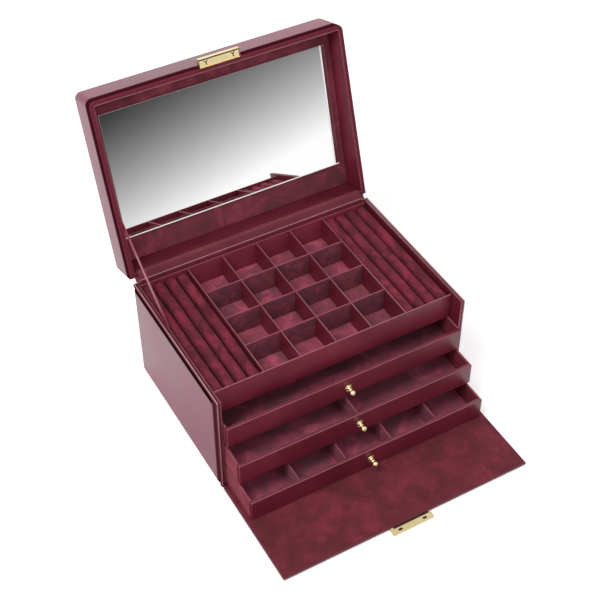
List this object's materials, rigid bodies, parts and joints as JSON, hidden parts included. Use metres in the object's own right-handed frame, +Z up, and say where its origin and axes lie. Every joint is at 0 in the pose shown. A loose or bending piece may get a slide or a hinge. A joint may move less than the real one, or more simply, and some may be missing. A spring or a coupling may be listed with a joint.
{
  "type": "jewellery case",
  "caption": "Leather jewellery case with a mirrored lid, a divided tray with ring rolls, three drawers and a fold-down front flap with a brass lock.",
  "frame": {"origin": "centre of the underside of the case body, on the table", "axes": "+Z up, +Y towards the back with the lid's hinge, +X to the right seen from the front"},
  "size_m": [0.302, 0.4548, 0.3407],
  "materials": {
    "outer_leather": "smooth burgundy leather with a soft sheen",
    "inner_leather": "thin burgundy leather over board",
    "suede": "mottled burgundy suede",
    "ring_roll_suede": "soft red suede",
    "board": "board covered in paper",
    "brass": "polished brass",
    "mirror": "silvered glass with ground edges"
  },
  "bodies": {
    "case": {"base_board": "outer_leather", "left_cover": "outer_leather", "right_cover": "outer_leather", "back_cover": "outer_leather", "left_panel": "inner_leather", "right_panel": "inner_leather", "back_panel": "inner_leather", "upper_shelf": "board", "lower_shelf": "board", "tray_front": "inner_leather", "tray_floor": "suede", "long_divider_1": "inner_leather", "long_divider_2": "inner_leather", "long_divider_3": "inner_leather", "long_divider_4": "inner_leather", "long_divider_5": "inner_leather", "cross_divider_1": "inner_leather", "cross_divider_2": "inner_leather", "cross_divider_3": "inner_leather", "left_ring_rolls": "ring_roll_suede", "right_ring_rolls": "ring_roll_suede", "lid_hinge_inner": "inner_leather", "lid_hinge_outer": "outer_leather", "lid_strap": "inner_leather", "flap_hinge_strip": "outer_leather"},
    "drawer_1": {"drawer_1_front": "inner_leather", "drawer_1_left_side": "suede", "drawer_1_right_side": "suede", "drawer_1_back": "suede", "drawer_1_floor": "suede", "drawer_1_knob": "brass"},
    "drawer_2": {"drawer_2_front": "inner_leather", "drawer_2_left_side": "suede", "drawer_2_right_side": "suede", "drawer_2_back": "suede", "drawer_2_floor": "suede", "drawer_2_knob": "brass", "drawer_2_divider_1": "suede"},
    "drawer_3": {"drawer_3_front": "inner_leather", "drawer_3_left_side": "suede", "drawer_3_right_side": "suede", "drawer_3_back": "suede", "drawer_3_floor": "suede", "drawer_3_knob": "brass", "drawer_3_divider_1": "suede", "drawer_3_divider_2": "suede", "drawer_3_divider_3": "suede", "drawer_3_divider_4": "suede"},
    "lid": {"lid_cover": "outer_leather", "lid_front_wall": "inner_leather", "lid_back_wall": "inner_leather", "lid_left_wall": "inner_leather", "lid_right_wall": "inner_leather", "lid_lining": "suede", "lid_mirror": "mirror", "lid_catch": "brass"},
    "flap": {"flap_panel": "outer_leather", "flap_lining": "suede", "lock_plate": "brass"},
    "release_slide": {"lock_slide": "brass"}
  },
  "joints": [
    {"name": "lid_hinge", "type": "hinge", "parent": "case", "child": "lid", "pos_m": [0, 0.10285, 0.13475], "axis": [1, 0, 0], "range_deg": [0, 108], "deforming": ["lid_hinge_inner", "lid_hinge_outer", "lid_strap"]},
    {"name": "flap_hinge", "type": "hinge", "parent": "case", "child": "flap", "pos_m": [0, -0.10285, 0.0022], "axis": [1, 0, 0], "range_deg": [0, 90], "deforming": ["flap_hinge_strip"]},
    {"name": "drawer_1_slide", "type": "slide", "parent": "case", "child": "drawer_1", "axis": [0, -1, 0], "range_m": [-0.0244, 0.1256]},
    {"name": "drawer_2_slide", "type": "slide", "parent": "case", "child": "drawer_2", "axis": [0, -1, 0], "range_m": [-0.0492, 0.1008]},
    {"name": "drawer_3_slide", "type": "slide", "parent": "case", "child": "drawer_3", "axis": [0, -1, 0], "range_m": [-0.074, 0.076]},
    {"name": "release_slide", "type": "slide", "parent": "flap", "child": "release_slide", "axis": [1, 0, 0], "range_m": [0, 0.003], "stiffness_N_per_m": 150}
  ]
}
